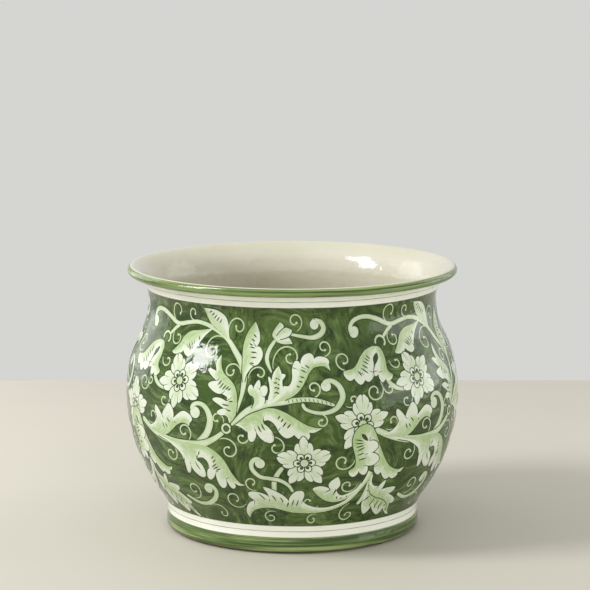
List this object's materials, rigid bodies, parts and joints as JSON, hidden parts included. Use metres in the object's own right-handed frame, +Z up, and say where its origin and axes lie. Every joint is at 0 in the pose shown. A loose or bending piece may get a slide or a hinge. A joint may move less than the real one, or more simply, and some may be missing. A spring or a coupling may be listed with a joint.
{
  "type": "planter",
  "caption": "Round-bellied glazed ceramic planter with a waisted neck, a rolled lip and a raised foot, a rubber drain plug inside and rubber floor pads under the foot.",
  "frame": {"origin": "on the floor under the middle of the pot, at the underside of its pads", "axes": "+Z up along the pot's axis; the front of the painted pattern faces -Y; +X to the right of it"},
  "size_m": [0.406, 0.406, 0.3225],
  "materials": {
    "painted_glaze": "brushed green glaze with pale scrollwork, glossy",
    "plug_rubber": "matt black rubber",
    "pad_rubber": "matt dark grey rubber"
  },
  "bodies": {
    "planter": {"planter_body": "painted_glaze", "foot_pad_1": "pad_rubber", "foot_pad_2": "pad_rubber", "foot_pad_3": "pad_rubber", "foot_pad_4": "pad_rubber"},
    "plug": {"drain_plug": "plug_rubber"}
  },
  "joints": [
    {"name": "plug_lift", "type": "slide", "parent": "planter", "child": "plug", "axis": [0, 0, 1], "range_m": [0, 0.33]}
  ]
}
